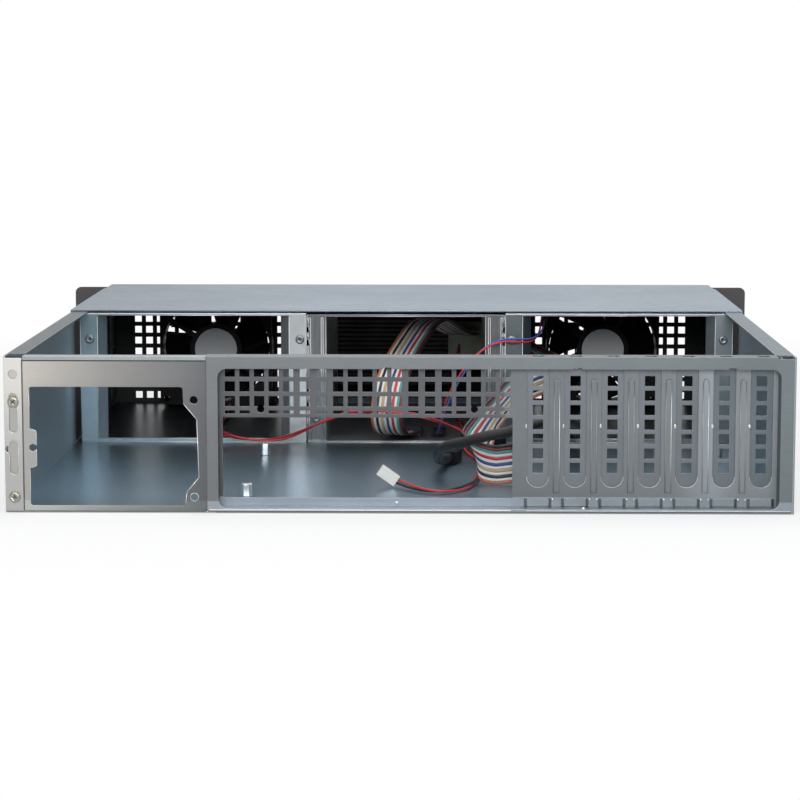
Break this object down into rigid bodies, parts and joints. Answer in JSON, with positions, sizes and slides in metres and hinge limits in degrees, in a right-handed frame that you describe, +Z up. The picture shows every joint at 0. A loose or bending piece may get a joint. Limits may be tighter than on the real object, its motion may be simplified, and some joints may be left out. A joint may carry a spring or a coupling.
{
  "type": "rackmount server case",
  "caption": "Empty rackmount case of folded zinc-coated steel, rear lid off, with front fans, drive cage, slot covers and loose front-panel cables.",
  "frame": {"origin": "centre of the case's underside", "axes": "+X to the right as seen from the rear, +Y from the rear to the front, +Z up"},
  "size_m": [0.4826, 0.4674, 0.087],
  "materials": {
    "zinc_steel": "satin zinc-coated sheet",
    "satin_steel": "satin",
    "cover_steel": "satin",
    "screw_steel": "bright zinc",
    "brass_standoff": "nickel plated",
    "black_panel": "fine matt powder coat",
    "black_plastic": "moulded",
    "label_grey": "bare label film",
    "circuit_board": "board with parts",
    "led_lens": "clear lens",
    "lead_red_black": "insulated wire",
    "ribbon_rainbow": "ribbon cable",
    "cable_sleeve": "cable jacket",
    "white_nylon": "nylon housing",
    "dark_connector": "moulded"
  },
  "bodies": {
    "case": {"bay_bezel": "black_plastic", "chassis_base": "zinc_steel", "disk_led": "led_lens", "drive_cage": "zinc_steel", "drive_cage_screws": "screw_steel", "ear_screws": "screw_steel", "fan_bracket_left": "zinc_steel", "fan_bracket_right": "zinc_steel", "fan_bracket_screws": "screw_steel", "fan_frame_left": "black_plastic", "fan_frame_right": "black_plastic", "fan_label_left": "label_grey", "fan_label_right": "label_grey", "fan_lead_left": "lead_red_black", "fan_lead_right": "lead_red_black", "fan_plug_left": "white_nylon", "fan_plug_right": "white_nylon", "fan_screws": "screw_steel", "front_cover": "zinc_steel", "front_cover_screws": "screw_steel", "front_panel": "black_panel", "io_slot_panel": "zinc_steel", "port_board": "circuit_board", "power_led": "led_lens", "psu_plate": "satin_steel", "rack_ear_left": "black_panel", "rack_ear_right": "black_panel", "rear_frame": "zinc_steel", "rear_strip_screws": "screw_steel", "ribbon_one": "ribbon_rainbow", "ribbon_one_plug": "dark_connector", "ribbon_two": "ribbon_rainbow", "ribbon_two_plug": "dark_connector", "sleeved_cable": "cable_sleeve", "sleeved_cable_plug": "black_plastic", "slot_cover_1": "cover_steel", "slot_cover_2": "cover_steel", "slot_cover_3": "cover_steel", "slot_cover_4": "cover_steel", "slot_cover_5": "cover_steel", "slot_cover_6": "cover_steel", "slot_cover_7": "cover_steel", "slot_cover_screws": "screw_steel", "standoffs": "brass_standoff", "switch_board": "circuit_board", "switch_lead": "lead_red_black", "switch_lead_plug": "white_nylon"},
    "left_fan_rotor": {"fan_rotor_left": "black_plastic"},
    "right_fan_rotor": {"fan_rotor_right": "black_plastic"},
    "power_button": {"power_button": "black_plastic"},
    "reset_button": {"reset_button": "black_plastic"}
  },
  "joints": [
    {"name": "left_fan_spin", "type": "hinge", "parent": "case", "child": "left_fan_rotor", "pos_m": [-0.138, 0.2175, 0.0425], "axis": [0, 1, 0], "continuous": true},
    {"name": "right_fan_spin", "type": "hinge", "parent": "case", "child": "right_fan_rotor", "pos_m": [0.138, 0.2175, 0.0425], "axis": [0, 1, 0], "continuous": true},
    {"name": "power_button_press", "type": "slide", "parent": "case", "child": "power_button", "axis": [0, -1, 0], "range_m": [0, 0.0015], "stiffness_N_per_m": 400},
    {"name": "reset_button_press", "type": "slide", "parent": "case", "child": "reset_button", "axis": [0, -1, 0], "range_m": [0, 0.001], "stiffness_N_per_m": 400}
  ]
}
